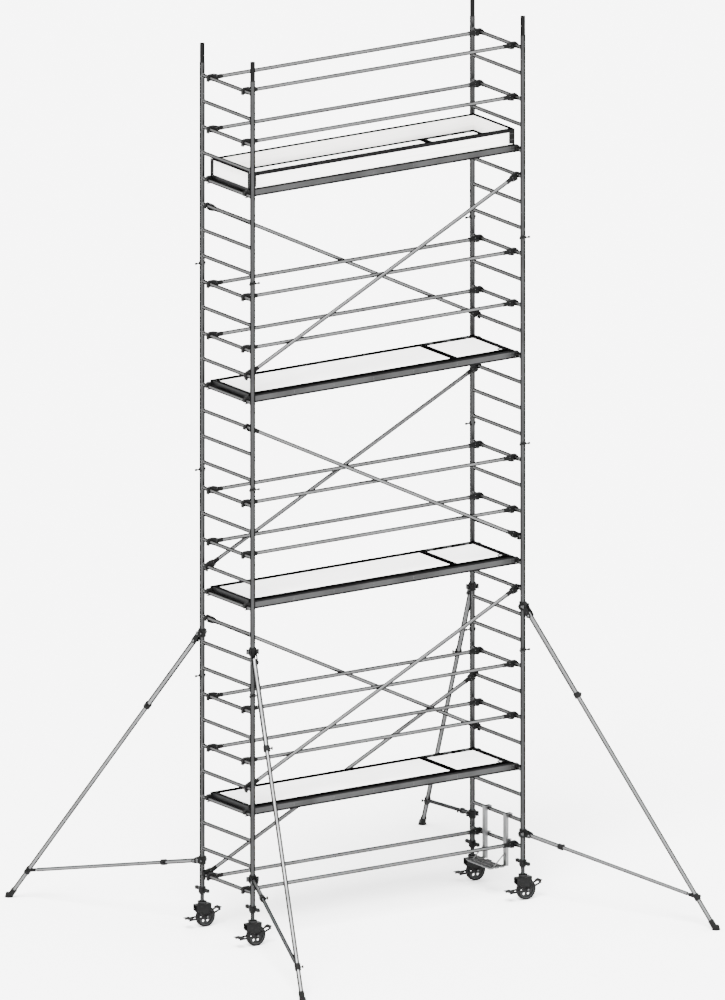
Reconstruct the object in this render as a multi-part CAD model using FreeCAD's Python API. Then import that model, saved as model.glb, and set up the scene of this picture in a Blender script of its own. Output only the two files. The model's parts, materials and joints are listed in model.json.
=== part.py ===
import FreeCAD, Part
import math
import os

# Mobile access tower: four storeys of ladder end frames, four trapdoor decks, snap-on rails and
# diagonals, four adjustable braked castors and four telescopic outriggers.
# Millimetres. +X runs along the bay, +Y to the back, +Z up. The origin is on the ground, below
# the centre of the bay.

os.makedirs("parts", exist_ok=True)
Vec = FreeCAD.Vector

# Bay and end frames
BAY_LENGTH = 3050.0
BAY_WIDTH = 850.0
BASE_HEIGHT = 390.0
FRAME_HEIGHT = 2000.0
STOREYS = 4
RUNG_PITCH = 250.0
FIRST_RUNG = 125.0
RUNGS_PER_FRAME = 8
POST_R = 25.4
POST_BORE_R = 23.4
RUNG_R = 19.0
RUNG_BORE_R = 17.0
SPIGOT_R = 23.0
SPIGOT_BORE_R = 20.4
SPIGOT_UP = 185.0
SPIGOT_DOWN = 110.0
CLIP_HEIGHT = 42.0
CLIP_HOLE_R = 5.0
CLIP_BAR_REACH = 56.0

# Rails and diagonals
TUBE_R = 19.0
TUBE_BORE_R = 17.2
TUBE_END_GAP = 85.0
RAIL_Y = 292.0
DIAGONAL_Y = 334.0
OUTER_DIAGONAL_Y = 376.0
CLAW_CLEARANCE = 0.15

# Decks, counted from the rung that carries them
DECK_RUNGS = (4, 12, 20, 28)
DECK_HALF_WIDTH = 340.0
BEAM_WIDTH = 40.0
BEAM_WALL = 2.5
BEAM_HALF_LENGTH = 1490.0
DECK_TOP = 56.0
BEAM_BOTTOM = -24.0
BOARD_THICKNESS = 12.0
BOARD_END_X = 855.0
END_BEAM_INNER_X = 1452.0
HATCH_GAP = 3.0
HATCH_BACK_Y = 283.0
HATCH_HINGE_Y = 284.5
HATCH_HINGE_RISE = 5.5
HATCH_HINGE_R = 5.0
HINGE_PIN_R = 2.5
RUNNING_GAP = 0.08
TOE_BOARD_HEIGHT = 150.0
TOE_BOARD_THICKNESS = 25.0

# Castors and adjustable legs
WHEEL_R = 100.0
TYRE_INNER_R = 84.0
TYRE_HALF_WIDTH = 22.5
CASTOR_TRAIL = 35.0
AXLE_R = 6.0
FORK_INNER_Y = 27.5
FORK_OUTER_Y = 33.0
CROWN_BOTTOM = 219.0
CROWN_TOP = 239.7
RACE_BOTTOM = 240.0
RACE_TOP = 252.0
KING_PIN_R = 9.0
SPINDLE_R = 19.0
SPINDLE_BORE_R = 15.0
SPINDLE_TOP = 800.0
NUT_BOTTOM = 322.0
NUT_TOP = BASE_HEIGHT - 0.3
NUT_R = 36.0
WING_REACH = 112.0

# Outriggers, in a plane through the post axis: distance out from it, and height
STRUT_TOP_HEIGHT = 2880.0
FOOT_RADIUS = 2120.0
ARM_POST_HEIGHT = 650.0
COUPLER_FRACTION = 0.9
PIVOT_REACH = 80.0
STRUT_R = 25.0
LEG_R = 22.0
LEG_BORE_R = 19.5
STRUT_SLEEVE_LENGTH = 891.0
LEG_OVERLAP = 420.0
ARM_R = 21.0
ARM_INNER_R = 18.0
ARM_INNER_BORE_R = 15.5
ARM_SLEEVE_LENGTH = 363.0
ARM_OVERLAP = 200.0
PIVOT_PIN_R = 8.0
COUPLER_PIN_R = 6.0
COUPLER_EYE_R = 7.5
COUPLER_OFFSET = 70.0
COLLAR_R = 36.0
CLAMP_HEIGHTS = (2856.0, 650.0)
CLAMP_HALF_HEIGHT = 38.0

HALF_LENGTH = BAY_LENGTH / 2
HALF_WIDTH = BAY_WIDTH / 2

# Corner name: x side, y side, direction of its outrigger in degrees from +X
CORNERS = {
    "left_front": (-1, -1, 249.0),
    "right_front": (1, -1, 295.0),
    "left_back": (-1, 1, 115.0),
    "right_back": (1, 1, 69.0),
}


def box(x0, x1, y0, y1, z0, z1):
    return Part.makeBox(x1 - x0, y1 - y0, z1 - z0, Vec(x0, y0, z0))


def rod(start, end, radius):
    along = end - start
    return Part.makeCylinder(radius, along.Length, start, along)


def pipe(start, end, radius, bore_radius):
    return rod(start, end, radius).cut(rod(start, end, bore_radius))


def ring(radius, bore_radius, z0, z1):
    return pipe(Vec(0, 0, z0), Vec(0, 0, z1), radius, bore_radius)


def plate(outline, y0, y1):
    """A flat plate with a straight-sided outline of (x, z) points, between two values of y."""
    points = [Vec(x, y0, z) for x, z in outline]
    face = Part.Face(Part.makePolygon(points + points[:1]))
    return face.extrude(Vec(0, y1 - y0, 0))


def bar(start, end, half_height, y0, y1):
    """A flat bar from one (x, z) point to another, between two values of y."""
    dx = end[0] - start[0]
    dz = end[1] - start[1]
    length = math.hypot(dx, dz)
    nx = -dz / length * half_height
    nz = dx / length * half_height
    outline = [
        (start[0] + nx, start[1] + nz),
        (end[0] + nx, end[1] + nz),
        (end[0] - nx, end[1] - nz),
        (start[0] - nx, start[1] - nz),
    ]
    return plate(outline, y0, y1)


def unit(start, end):
    length = math.hypot(end[0] - start[0], end[1] - start[1])
    return ((end[0] - start[0]) / length, (end[1] - start[1]) / length)


def along(start, direction, distance):
    return (start[0] + direction[0] * distance, start[1] + direction[1] * distance)


def point(pair, y=0.0):
    return Vec(pair[0], y, pair[1])


def moved(shape, x=0.0, y=0.0, z=0.0):
    copy = shape.copy()
    copy.translate(Vec(x, y, z))
    return copy


def turned(shape, degrees, axis=Vec(0, 0, 1), centre=Vec(0, 0, 0)):
    copy = shape.copy()
    copy.rotate(centre, axis, degrees)
    return copy


def fused(shapes):
    return shapes[0].multiFuse(shapes[1:]).removeSplitter()


def save(node, shapes):
    solids = [solid for shape in shapes for solid in shape.Solids]
    Part.makeCompound(solids).exportStep(f"parts/{node}.step")


def rung_height(number):
    """Height of a rung's axis. Rungs are numbered from 1 at the bottom of the tower."""
    return BASE_HEIGHT + FIRST_RUNG + RUNG_PITCH * (number - 1)


# ---- End frames -----------------------------------------------------------------------------


def coped_rung():
    """One rung along Y, its ends cut to sit against the posts."""
    rung = pipe(Vec(0, -HALF_WIDTH, 0), Vec(0, HALF_WIDTH, 0), RUNG_R, RUNG_BORE_R)
    for side in (-1, 1):
        foot = Vec(0, side * HALF_WIDTH, -FIRST_RUNG)
        rung = rung.cut(rod(foot, foot + Vec(0, 0, 2 * FIRST_RUNG), POST_R))
    return rung


def clip_hole(y_side, z):
    """The drilling for a frame clip, on the outer side of a post that stands on the Z axis."""
    return rod(Vec(0, 0, z), Vec(0, y_side * 2 * POST_R, z), CLIP_HOLE_R)


def end_frame(x_side, storey):
    base = BASE_HEIGHT + FRAME_HEIGHT * storey
    top = FRAME_HEIGHT
    shapes = []
    for y_side in (-1, 1):
        post = ring(POST_R, POST_BORE_R, 0, top)
        root = ring(POST_BORE_R, SPIGOT_BORE_R, top - SPIGOT_DOWN, top)
        spigot = fused([root, ring(SPIGOT_R, SPIGOT_BORE_R, top, top + SPIGOT_UP)])
        if storey > 0:
            post = post.cut(clip_hole(y_side, CLIP_HEIGHT))
        if storey < STOREYS - 1:
            spigot = spigot.cut(clip_hole(y_side, top + CLIP_HEIGHT))
        for shape in (post, spigot):
            shapes.append(moved(shape, x_side * HALF_LENGTH, y_side * HALF_WIDTH, base))
    rung = coped_rung()
    for number in range(RUNGS_PER_FRAME):
        height = base + FIRST_RUNG + RUNG_PITCH * number
        shapes.append(moved(rung, x_side * HALF_LENGTH, 0, height))
    return shapes


def frame_clip(y_side):
    """A clip round a post at the origin: an open spring band, a locking pin and a finger bar."""
    band = ring(POST_R + 2.6, POST_R + 0.1, -8, 8)
    y0, y1 = sorted((-y_side * 45, -y_side * 12))
    band = band.cut(box(-18, 18, y0, y1, -9, 9))
    inner = Vec(0, y_side * (SPIGOT_BORE_R + 0.5), 0)
    outer = Vec(0, y_side * (POST_R + 9), 0)
    pin = rod(inner, outer, CLIP_HOLE_R - 0.2)
    near, far = sorted((y_side * (POST_R + 1), y_side * (POST_R + 11)))
    bar_y = y_side * (POST_R + 7)
    handle = [box(-14, 14, near, far, -10, 18)]
    handle.append(rod(Vec(-CLIP_BAR_REACH, bar_y, 0), Vec(CLIP_BAR_REACH, bar_y, 0), 7))
    for x in (-CLIP_BAR_REACH, CLIP_BAR_REACH - 16):
        handle.append(rod(Vec(x, bar_y, 0), Vec(x + 16, bar_y, 0), 11))
    post = rod(Vec(0, 0, -20), Vec(0, 0, 20), POST_R + 0.1)
    return fused([band, pin, fused(handle).cut(post)])


def frame_clips():
    shapes = []
    for storey in range(1, STOREYS):
        height = BASE_HEIGHT + FRAME_HEIGHT * storey + CLIP_HEIGHT
        for x_side, y_side, _ in CORNERS.values():
            clip = frame_clip(y_side)
            shapes.append(moved(clip, x_side * HALF_LENGTH, y_side * HALF_WIDTH, height))
    return shapes


# ---- Rails, diagonals and their claws -------------------------------------------------------


def claw():
    """A snap claw round a rung that lies along Y at the origin. Its tube comes from -X."""
    body = box(-TUBE_END_GAP, 32, -17, 17, -34, 34)
    nose = plate([(6, 34.5), (32.5, 34.5), (32.5, 10)], -18, 18)
    heel = plate([(-85.5, -34.5), (-85.5, -24), (-45, -34.5)], -18, 18)
    shoulder = plate([(-85.5, 34.5), (-85.5, 24), (-45, 34.5)], -18, 18)
    socket = pipe(Vec(-TUBE_END_GAP - 48, 0, 0), Vec(-TUBE_END_GAP, 0, 0), TUBE_R + 3, TUBE_R)
    seat_r = RUNG_R + CLAW_CLEARANCE
    seat = rod(Vec(0, -20, 0), Vec(0, 20, 0), seat_r)
    mouth = box(-seat_r, seat_r, -20, 20, -40, 0)
    pawl = plate([(-46, -25), (-19.4, -25), (14, -29), (14, -21), (-19.4, -19.5)], -9, 9)
    pawl = pawl.cut(seat)
    body = body.cut(fused([seat, mouth])).cut(nose).cut(heel).cut(shoulder)
    return fused([body, socket, pawl])


def tube_with_claws(rungs, y):
    """The tube and two claws between a rung of the left frame and one of the right frame."""
    left_z = rung_height(rungs[0])
    right_z = rung_height(rungs[1])
    slope = math.degrees(math.atan2(right_z - left_z, BAY_LENGTH))
    span = math.hypot(right_z - left_z, BAY_LENGTH)
    near = Vec(TUBE_END_GAP - span / 2, 0, 0)
    far = Vec(span / 2 - TUBE_END_GAP, 0, 0)
    right_claw = moved(claw(), span / 2)
    left_claw = moved(claw().mirror(Vec(0, 0, 0), Vec(1, 0, 0)), -span / 2)
    middle = Vec(0, y, (left_z + right_z) / 2)
    shapes = [pipe(near, far, TUBE_R, TUBE_BORE_R), left_claw, right_claw]
    placed = []
    for shape in shapes:
        tilted = turned(shape, -slope, Vec(0, 1, 0))
        placed.append(moved(tilted, middle.x, middle.y, middle.z))
    return placed


def rails_and_diagonals():
    """Three lists of shapes: level rails, diagonals, and the claws of both."""
    guard_rungs = [deck + step for deck in DECK_RUNGS for step in (2, 4)]
    rails = []
    diagonals = []
    claws = []
    for number in [1] + guard_rungs:
        for side in (-1, 1):
            tube, *ends = tube_with_claws((number, number), side * RAIL_Y)
            rails.append(tube)
            claws += ends
    runs = [
        ((5, 11), -DIAGONAL_Y),
        ((19, 13), -DIAGONAL_Y),
        ((21, 27), -DIAGONAL_Y),
        ((11, 5), DIAGONAL_Y),
        ((13, 19), DIAGONAL_Y),
        ((27, 21), DIAGONAL_Y),
        ((1, 7), OUTER_DIAGONAL_Y),
    ]
    for rungs, y in runs:
        tube, *ends = tube_with_claws(rungs, y)
        diagonals.append(tube)
        claws += ends
    return rails, diagonals, claws


# ---- Decks ----------------------------------------------------------------------------------


def deck_hook():
    """A cast hook over a rung along Y at the origin, at the end of a beam that comes from -X."""
    seat_r = RUNG_R + CLAW_CLEARANCE
    root = BEAM_HALF_LENGTH - HALF_LENGTH
    body = box(root, 33, -18, 18, -20, 42)
    seat = rod(Vec(0, -20, 0), Vec(0, 20, 0), seat_r)
    mouth = box(-seat_r, seat_r, -20, 20, -30, 0)
    lip = box(seat_r - 1, 40, -20, 20, -30, -9)
    nose = plate([(8, 42.5), (33.5, 42.5), (33.5, 18)], -19, 19)
    wind_lock = plate([(root, -20), (-seat_r, -20), (16, -23), (16, -30), (root, -30)], -8, 8)
    body = body.cut(fused([seat, mouth, lip, nose]))
    return fused([body, wind_lock])


def hollow_beam(x0, x1, y0, y1, z0, z1):
    """A rectangular hollow section along X."""
    wall = BEAM_WALL
    return box(x0, x1, y0, y1, z0, z1).cut(
        box(x0, x1, y0 + wall, y1 - wall, z0 + wall, z1 - wall)
    )


def hollow_cross_beam(x0, x1, y0, y1, z0, z1):
    """A rectangular hollow section along Y."""
    wall = BEAM_WALL
    return box(x0, x1, y0, y1, z0, z1).cut(
        box(x0 + wall, x1 - wall, y0, y1, z0 + wall, z1 - wall)
    )


def hinge_places():
    return (950.0, 1153.5, 1357.0)


def hinge_barrel(x0, x1, bore_r):
    z = DECK_TOP + HATCH_HINGE_RISE
    return pipe(Vec(x0, HATCH_HINGE_Y, z), Vec(x1, HATCH_HINGE_Y, z), HATCH_HINGE_R, bore_r)


def deck_frame():
    """A deck's beams, hooks, cross members, hatch rim and fixed hinge halves, at rung height 0."""
    inner = DECK_HALF_WIDTH - BEAM_WIDTH
    under_board = DECK_TOP - BOARD_THICKNESS
    rim_top = under_board - 0.5
    rim_bottom = rim_top - 6
    hatch_left = BOARD_END_X + HATCH_GAP
    shapes = []
    hook = deck_hook()
    for side in (-1, 1):
        y0, y1 = sorted((side * inner, side * DECK_HALF_WIDTH))
        shapes.append(
            hollow_beam(-BEAM_HALF_LENGTH, BEAM_HALF_LENGTH, y0, y1, BEAM_BOTTOM, DECK_TOP)
        )
        middle = side * (inner + BEAM_WIDTH / 2)
        shapes.append(moved(hook, HALF_LENGTH, middle))
        shapes.append(moved(hook.mirror(Vec(0, 0, 0), Vec(1, 0, 0)), -HALF_LENGTH, middle))
    end_depth = BEAM_HALF_LENGTH - 2 - END_BEAM_INNER_X
    for x0 in (END_BEAM_INNER_X, -END_BEAM_INNER_X - end_depth):
        shapes.append(hollow_cross_beam(x0, x0 + end_depth, -inner, inner, -14, DECK_TOP))
    for x in (-1000.0, -550.0, -100.0, 350.0, BOARD_END_X - 13):
        shapes.append(
            hollow_cross_beam(x - 15, x + 15, -inner, inner, under_board - 34, under_board)
        )
    rim_left = BOARD_END_X + 2
    shapes.append(box(rim_left, rim_left + 12, -inner, inner, rim_bottom, rim_top))
    shapes.append(
        box(END_BEAM_INNER_X - 12, END_BEAM_INNER_X, -inner, inner, rim_bottom, rim_top)
    )
    shapes.append(
        box(rim_left + 12, END_BEAM_INNER_X - 12, -inner, 12 - inner, rim_bottom, rim_top)
    )
    strip_y = HATCH_BACK_Y + HATCH_GAP
    shapes.append(
        box(hatch_left, END_BEAM_INNER_X, strip_y, inner, under_board, DECK_TOP)
    )
    for x in hinge_places():
        for x0 in (x - 39, x + 21):
            leaf = box(x0, x0 + 18, strip_y, inner, DECK_TOP, DECK_TOP + 3)
            shapes.append(fused([leaf, hinge_barrel(x0, x0 + 18, HINGE_PIN_R)]))
        z = DECK_TOP + HATCH_HINGE_RISE
        start = Vec(x - 41, HATCH_HINGE_Y, z)
        shapes.append(rod(start, start + Vec(82, 0, 0), HINGE_PIN_R))
    return shapes


def deck_board():
    inner = DECK_HALF_WIDTH - BEAM_WIDTH - 0.3
    under_board = DECK_TOP - BOARD_THICKNESS
    return box(0.3 - END_BEAM_INNER_X, BOARD_END_X, -inner, inner, under_board, DECK_TOP)


def hatch():
    """A trapdoor with its stiffening bars, moving hinge leaves and lift ring, at rung height 0."""
    x0 = BOARD_END_X + HATCH_GAP
    x1 = END_BEAM_INNER_X - HATCH_GAP
    y0 = HATCH_GAP - (DECK_HALF_WIDTH - BEAM_WIDTH)
    y1 = HATCH_BACK_Y
    under = DECK_TOP - BOARD_THICKNESS
    inset = 14.0
    thick = 20.0
    low = under - thick
    shapes = [box(x0, x1, y0, y1, under, DECK_TOP)]
    for y in (y0 + inset, y1 - inset - thick):
        shapes.append(box(x0 + inset, x1 - inset, y, y + thick, low, under))
    for x in (x0 + inset, x1 - inset - thick):
        shapes.append(box(x, x + thick, y0 + inset + thick, y1 - inset - thick, low, under))
    bore_r = HINGE_PIN_R + RUNNING_GAP
    for x in hinge_places():
        leaf = box(x - 20, x + 20, y1 - 32, y1, DECK_TOP, DECK_TOP + 3)
        shapes.append(fused([leaf, hinge_barrel(x - 20, x + 20, bore_r)]))
    ring_x = x1 - 60
    ring_y = y0 + 50
    shapes.append(moved(ring(27.5, 20.5, 0.1, 6), ring_x, ring_y, DECK_TOP))
    hasp = box(ring_x - 9, ring_x + 9, ring_y + 18, ring_y + 30, DECK_TOP, DECK_TOP + 7)
    shapes[-1] = fused([shapes[-1], hasp])
    return shapes


def toe_boards():
    """Boards round the top deck, and the bent corner brackets that join them."""
    z0 = rung_height(DECK_RUNGS[-1]) + DECK_TOP
    z1 = z0 + TOE_BOARD_HEIGHT
    outer = DECK_HALF_WIDTH - 2
    inner = outer - TOE_BOARD_THICKNESS
    end_x = BEAM_HALF_LENGTH - 3
    shapes = []
    for side in (-1, 1):
        y0, y1 = sorted((side * inner, side * outer))
        shapes.append(box(-end_x, end_x, y0, y1, z0, z1))
        x0, x1 = sorted((side * (end_x - TOE_BOARD_THICKNESS), side * end_x))
        shapes.append(box(x0, x1, 0.2 - inner, inner - 0.2, z0, z1))
    for x_side in (-1, 1):
        for y_side in (-1, 1):
            along = plate([(-60, 12), (-60, z1 - z0 - 12), (0, z1 - z0 - 2), (0, 2)], 0, 3)
            across = box(0, 3, -50, 3, 2, z1 - z0 - 2)
            bracket = moved(fused([along, across]), end_x, outer, z0)
            if x_side < 0:
                bracket = bracket.mirror(Vec(0, 0, 0), Vec(1, 0, 0))
            if y_side < 0:
                bracket = bracket.mirror(Vec(0, 0, 0), Vec(0, 1, 0))
            shapes.append(bracket)
    return shapes


def access_step():
    """A first step that hooks over the second rung of the right frame and turns in below it."""
    shapes = []
    hook_z = rung_height(2)
    rest_z = rung_height(1)
    tread_z = 296.0
    post_x = HALF_LENGTH - RUNG_R - 4.2
    tread_in = HALF_LENGTH - 235.0
    for y in (-190.0, 160.0):
        near = y - 25
        far = y + 25
        inner_x = post_x - 26
        cap_x = HALF_LENGTH + 27
        shapes.append(box(inner_x, post_x + 4, near, far, tread_z, hook_z + 20))
        shapes.append(box(inner_x, cap_x, near, far, hook_z + 20, hook_z + 28))
        shapes.append(box(cap_x - 7.5, cap_x, near, far, hook_z - 14, hook_z + 20))
        shapes.append(box(post_x + 4, cap_x - 3, near + 5, far - 5, rest_z + 19.2, rest_z + 25))
        shapes.append(box(tread_in, post_x + 4, near, far, tread_z - 8, tread_z))
        brace = [(tread_in + 60, tread_z), (tread_in + 74, tread_z), (inner_x, 400), (inner_x, 416)]
        shapes.append(plate(brace, y - 4, y + 4))
    for x in (tread_in + 12, tread_in + 72, tread_in + 132):
        tread = box(x, x + 44, -205, 175, tread_z - 20, tread_z - 8)
        shapes.append(tread)
    return shapes


# ---- Castors --------------------------------------------------------------------------------


def castor_leg():
    """The spindle that slides in the post, its guide bush, and the swivel's upper race and pin."""
    spindle = ring(SPINDLE_R, SPINDLE_BORE_R, RACE_TOP, SPINDLE_TOP)
    bush = ring(POST_BORE_R - RUNNING_GAP, SPINDLE_R, SPINDLE_TOP - 34, SPINDLE_TOP)
    race = Part.makeCylinder(44, RACE_TOP - RACE_BOTTOM, Vec(0, 0, RACE_BOTTOM))
    king_pin = Part.makeCylinder(KING_PIN_R, RACE_BOTTOM - 207, Vec(0, 0, 207))
    head = Part.makeCylinder(16, CROWN_BOTTOM - 0.3 - 207, Vec(0, 0, 207))
    return [spindle, bush, fused([race, king_pin, head])]


def levelling_nut():
    """A round nut with two wing handles, bearing against the foot of the post."""
    bore_r = SPINDLE_R + RUNNING_GAP
    taper = Part.makeCone(NUT_R - 10, NUT_R, 18, Vec(0, 0, NUT_BOTTOM))
    barrel = Part.makeCylinder(NUT_R, NUT_TOP - NUT_BOTTOM - 18, Vec(0, 0, NUT_BOTTOM + 18))
    body = fused([taper, barrel])
    shapes = [body.cut(rod(Vec(0, 0, NUT_BOTTOM - 5), Vec(0, 0, NUT_TOP + 5), bore_r))]
    for side in (-1, 1):
        near, far = sorted((side * 24, side * (WING_REACH - 15)))
        arm = box(-9, 9, near, far, NUT_TOP - 40, NUT_TOP - 6)
        knob = rod(
            Vec(-11, side * (WING_REACH - 19), NUT_TOP - 23),
            Vec(11, side * (WING_REACH - 19), NUT_TOP - 23),
            19,
        )
        shapes.append(fused([arm, knob]).cut(body))
    return shapes


def castor_fork():
    """The swivelling crown with its two side plates, and the axle bolt with its nut."""
    crown = box(-80, 85, -FORK_OUTER_Y, FORK_OUTER_Y, CROWN_BOTTOM, CROWN_BOTTOM + 8)
    boss = Part.makeCylinder(42, CROWN_TOP - CROWN_BOTTOM, Vec(0, 0, CROWN_BOTTOM))
    king_hole = Part.makeCylinder(KING_PIN_R + RUNNING_GAP, 60, Vec(0, 0, CROWN_BOTTOM - 10))
    shapes = [fused([crown, boss]).cut(king_hole)]
    axle_x = CASTOR_TRAIL
    side = [
        (-80, CROWN_BOTTOM),
        (85, CROWN_BOTTOM),
        (85, 178),
        (axle_x + 24, 88),
        (axle_x + 13, 74),
        (axle_x - 13, 74),
        (axle_x - 24, 88),
        (-80, 170),
    ]
    axle_start = Vec(axle_x, -50, WHEEL_R)
    axle = rod(axle_start, axle_start + Vec(0, 100, 0), AXLE_R)
    for y_side in (-1, 1):
        y0, y1 = sorted((y_side * FORK_INNER_Y, y_side * FORK_OUTER_Y))
        shapes.append(plate(side, y0, y1).cut(axle))
    bolt = [axle]
    for y_side in (-1, 1):
        bolt.append(hexagon(axle_x, WHEEL_R, 11, *sorted((y_side * 38.6, y_side * 47))))
    return shapes + [fused(bolt)]


def hexagon(x, z, radius, y0, y1):
    """A hexagonal prism along Y, for bolt heads and nuts."""
    angles = [math.radians(60 * corner) for corner in range(6)]
    return plate([(x + radius * math.cos(a), z + radius * math.sin(a)) for a in angles], y0, y1)


def castor_wheel():
    """The moulded wheel centre: hub, pierced web and rim."""
    centre = Vec(CASTOR_TRAIL, 0, WHEEL_R)

    def disc(radius, half_width):
        start = centre + Vec(0, -half_width, 0)
        return rod(start, start + Vec(0, 2 * half_width, 0), radius)

    rim = disc(TYRE_INNER_R, 20).cut(disc(TYRE_INNER_R - 10, 21))
    wheel = fused([disc(24, 26), disc(TYRE_INNER_R - 5, 5), rim])
    for spoke in range(6):
        angle = math.radians(60 * spoke)
        x = 49 * math.cos(angle)
        z = 49 * math.sin(angle)
        wheel = wheel.cut(rod(centre + Vec(x, -10, z), centre + Vec(x, 10, z), 13))
    return [wheel.cut(disc(AXLE_R + RUNNING_GAP, 30))]


def castor_tyre():
    """The tyre as a turned ring with rounded shoulders."""
    shoulder = 7.0
    half = TYRE_HALF_WIDTH
    profile = [
        Vec(0, -half, TYRE_INNER_R),
        Vec(0, half, TYRE_INNER_R),
        Vec(0, half, WHEEL_R - shoulder),
        Vec(0, half - shoulder, WHEEL_R),
        Vec(0, shoulder - half, WHEEL_R),
        Vec(0, -half, WHEEL_R - shoulder),
    ]
    mid = shoulder * (1 - math.sqrt(0.5))
    edges = [
        Part.LineSegment(profile[0], profile[1]).toShape(),
        Part.LineSegment(profile[1], profile[2]).toShape(),
        Part.Arc(profile[2], Vec(0, half - mid, WHEEL_R - mid), profile[3]).toShape(),
        Part.LineSegment(profile[3], profile[4]).toShape(),
        Part.Arc(profile[4], Vec(0, mid - half, WHEEL_R - mid), profile[5]).toShape(),
        Part.LineSegment(profile[5], profile[0]).toShape(),
    ]
    tyre = Part.Face(Part.Wire(edges)).revolve(Vec(0, 0, 0), Vec(0, 1, 0), 360)
    return [moved(tyre, CASTOR_TRAIL, 0, WHEEL_R)]


def brake_pedal():
    """A rocker on the axle ends: a low foot plate on one side and a raised one on the other."""
    hub = (CASTOR_TRAIL, WHEEL_R)
    low_end = (hub[0] - 205, hub[1] - 8)
    high_end = (hub[0] + 150, hub[1] + 58)
    inner = FORK_OUTER_Y + 1
    outer = inner + 4
    bore_start = Vec(hub[0], -60, hub[1])
    bore = rod(bore_start, bore_start + Vec(0, 120, 0), AXLE_R + RUNNING_GAP)
    shapes = []
    for side in (-1, 1):
        y0, y1 = sorted((side * inner, side * outer))
        boss = rod(Vec(hub[0], y0, hub[1]), Vec(hub[0], y1, hub[1]), 17)
        lever = [boss, bar(hub, low_end, 10, y0, y1), bar(hub, high_end, 10, y0, y1)]
        shapes.append(fused(lever).cut(bore))
    for end, length, half_width in ((low_end, 62, 46), (high_end, 40, 42)):
        back = unit(end, hub)
        lift = (back[1], -back[0]) if back[0] < 0 else (-back[1], back[0])
        tip = along(along(end, back, -16), lift, 13)
        root = along(tip, back, length)
        shapes.append(bar(root, tip, 3, -half_width, half_width))
    return shapes


# ---- Outriggers, built in the XZ plane with the post on the Z axis --------------------------


STRUT_TOP = (0.0, STRUT_TOP_HEIGHT)
FOOT = (FOOT_RADIUS, 0.0)
STRUT_DIR = unit(STRUT_TOP, FOOT)
STRUT_PIVOT = along(STRUT_TOP, STRUT_DIR, PIVOT_REACH / STRUT_DIR[0])
LEG_END = math.hypot(FOOT[0] - STRUT_PIVOT[0], FOOT[1] - STRUT_PIVOT[1])
STRUT_LENGTH = math.hypot(FOOT_RADIUS, STRUT_TOP_HEIGHT)
COUPLER = along(STRUT_TOP, STRUT_DIR, COUPLER_FRACTION * STRUT_LENGTH)
ARM_POST = (0.0, ARM_POST_HEIGHT)
ARM_DIR = unit(ARM_POST, COUPLER)
ARM_PIVOT = along(ARM_POST, ARM_DIR, PIVOT_REACH / ARM_DIR[0])
COUPLER_PIN = along(COUPLER, ARM_DIR, -COUPLER_OFFSET)


def post_clamp(height, pivot, cheek_y):
    """A two-part collar round the post, its bolts, and the two cheeks that hold a pivot pin."""
    low = height - CLAMP_HALF_HEIGHT
    high = height + CLAMP_HALF_HEIGHT
    bore = rod(Vec(0, 0, low - 80), Vec(0, 0, high + 80), POST_R + RUNNING_GAP)
    collar = Part.makeCylinder(COLLAR_R, high - low, Vec(0, 0, low)).cut(bore)
    flange = box(-13, 13, -60, 60, height - 22, height + 22).cut(bore)
    whole = fused([collar, flange])
    outer_half = whole.common(box(1.5, 100, -100, 100, low - 5, high + 5))
    inner_half = whole.common(box(-100, -1.5, -100, 100, low - 5, high + 5))
    lug = [
        (24, high - 6),
        (24, low + 4),
        (pivot[0] - 22, pivot[1] - 22),
        (pivot[0] + 14, pivot[1] - 22),
        (pivot[0] + 24, pivot[1]),
        (pivot[0] + 14, pivot[1] + 22),
    ]
    parts = [outer_half]
    for side in (-1, 1):
        y0, y1 = sorted((side * cheek_y, side * (cheek_y + 6)))
        parts.append(plate(lug, y0, y1).cut(bore))
    shapes = [inner_half]
    for side in (-1, 1):
        y = side * 49
        parts_bolt = [rod(Vec(-22, y, height), Vec(30, y, height), 5)]
        parts_bolt.append(rod(Vec(-20, y, height), Vec(-13, y, height), 9))
        parts_bolt.append(rod(Vec(13, y, height), Vec(21, y, height), 10))
        parts_bolt.append(box(21, 40, y - 3, y + 3, height - 17, height + 17))
        bolt = fused(parts_bolt)
        shapes = [shape.cut(bolt) for shape in shapes] + [bolt]
        parts = [shape.cut(bolt) for shape in parts]
    outer_y = cheek_y + 6
    pin = fused(
        [
            rod(point(pivot, -outer_y - 3), point(pivot, outer_y + 3), PIVOT_PIN_R),
            rod(point(pivot, -outer_y - 9), point(pivot, -outer_y), 13),
            rod(point(pivot, outer_y), point(pivot, outer_y + 9), 13),
        ]
    )
    body = fused(parts).cut(pin)
    return [body, pin] + shapes


def sleeve_end(origin, direction, distance, tube_r, bore_r):
    """A cast collar at the mouth of a telescopic tube, with its locking knob."""
    start = point(along(origin, direction, distance - 44))
    end = point(along(origin, direction, distance + 8))
    mouth = point(along(origin, direction, distance))
    collar = pipe(start, end, tube_r + 8, bore_r)
    knob_z = along(origin, direction, distance - 20)
    knob = [
        rod(point(knob_z, tube_r + 4), point(knob_z, tube_r + 20), 7),
        rod(point(knob_z, tube_r + 20), point(knob_z, tube_r + 32), 16),
    ]
    tube_part = rod(start, mouth, tube_r)
    return fused([collar] + knob).cut(tube_part)


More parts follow.
